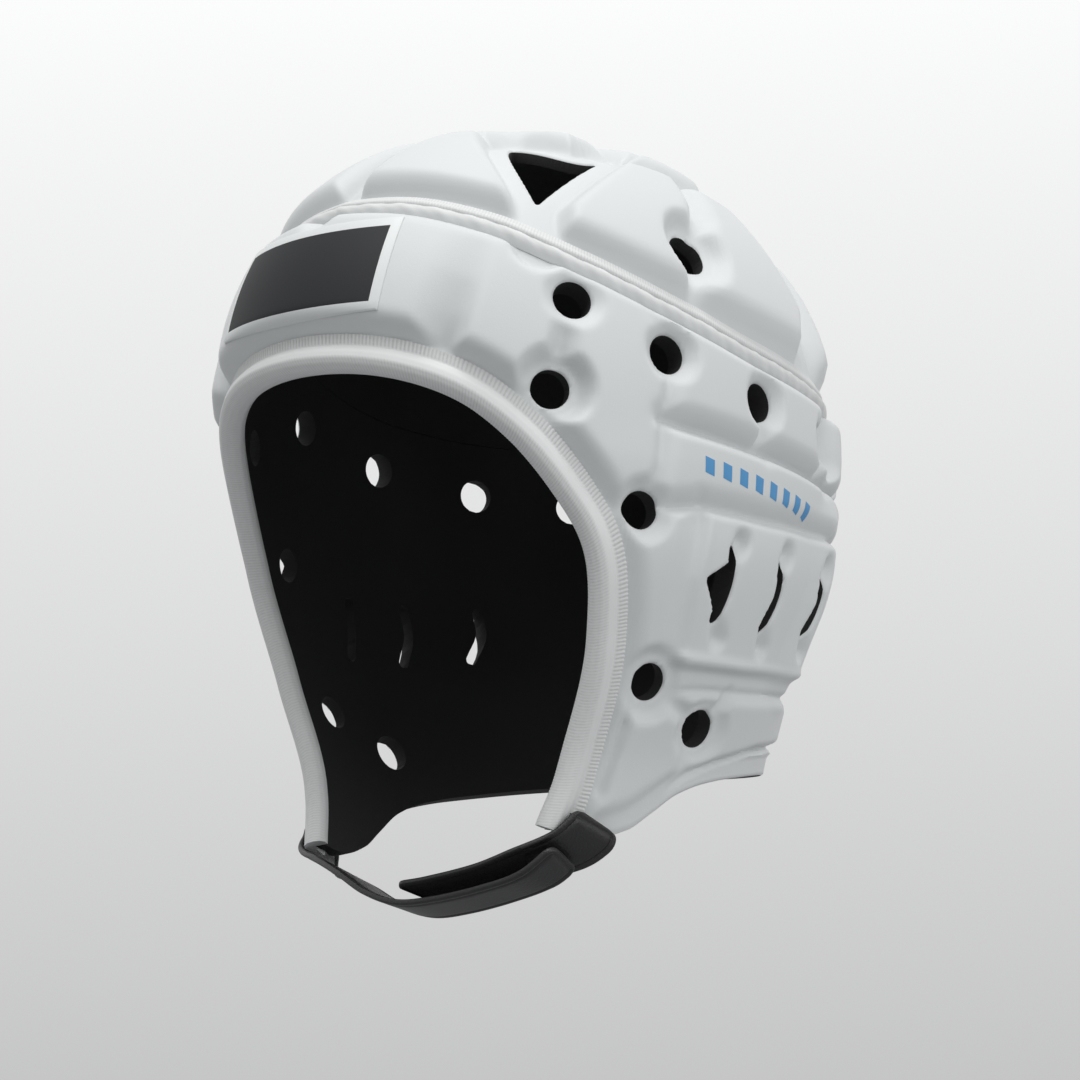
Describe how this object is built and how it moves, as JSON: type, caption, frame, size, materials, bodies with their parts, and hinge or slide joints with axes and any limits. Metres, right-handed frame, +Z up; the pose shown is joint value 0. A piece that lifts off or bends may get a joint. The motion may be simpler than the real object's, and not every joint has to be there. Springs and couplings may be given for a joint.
{
  "type": "head guard",
  "caption": "Soft padded head guard with a vented foam crown and side panel, bound face opening, ear slots and a black chin strap fastened under the jaw.",
  "frame": {"origin": "where the top of the head meets the inside of the crown", "axes": "+Z up, -Y the way the face looks, +X to the wearer's left"},
  "size_m": [0.184, 0.2261, 0.2571],
  "materials": {
    "foam": "matte stretch cloth over moulded foam",
    "knit": "ribbed knit",
    "patch": "woven patch with a white border",
    "leatherette": "satin coated cloth"
  },
  "bodies": {
    "root": {"side_panel": "foam", "crown_panel": "foam", "face_binding": "knit", "crown_edge_binding": "knit", "panel_edge_binding": "knit", "forehead_patch": "patch", "strap_tab": "leatherette", "chin_strap": "leatherette"}
  },
  "joints": []
}
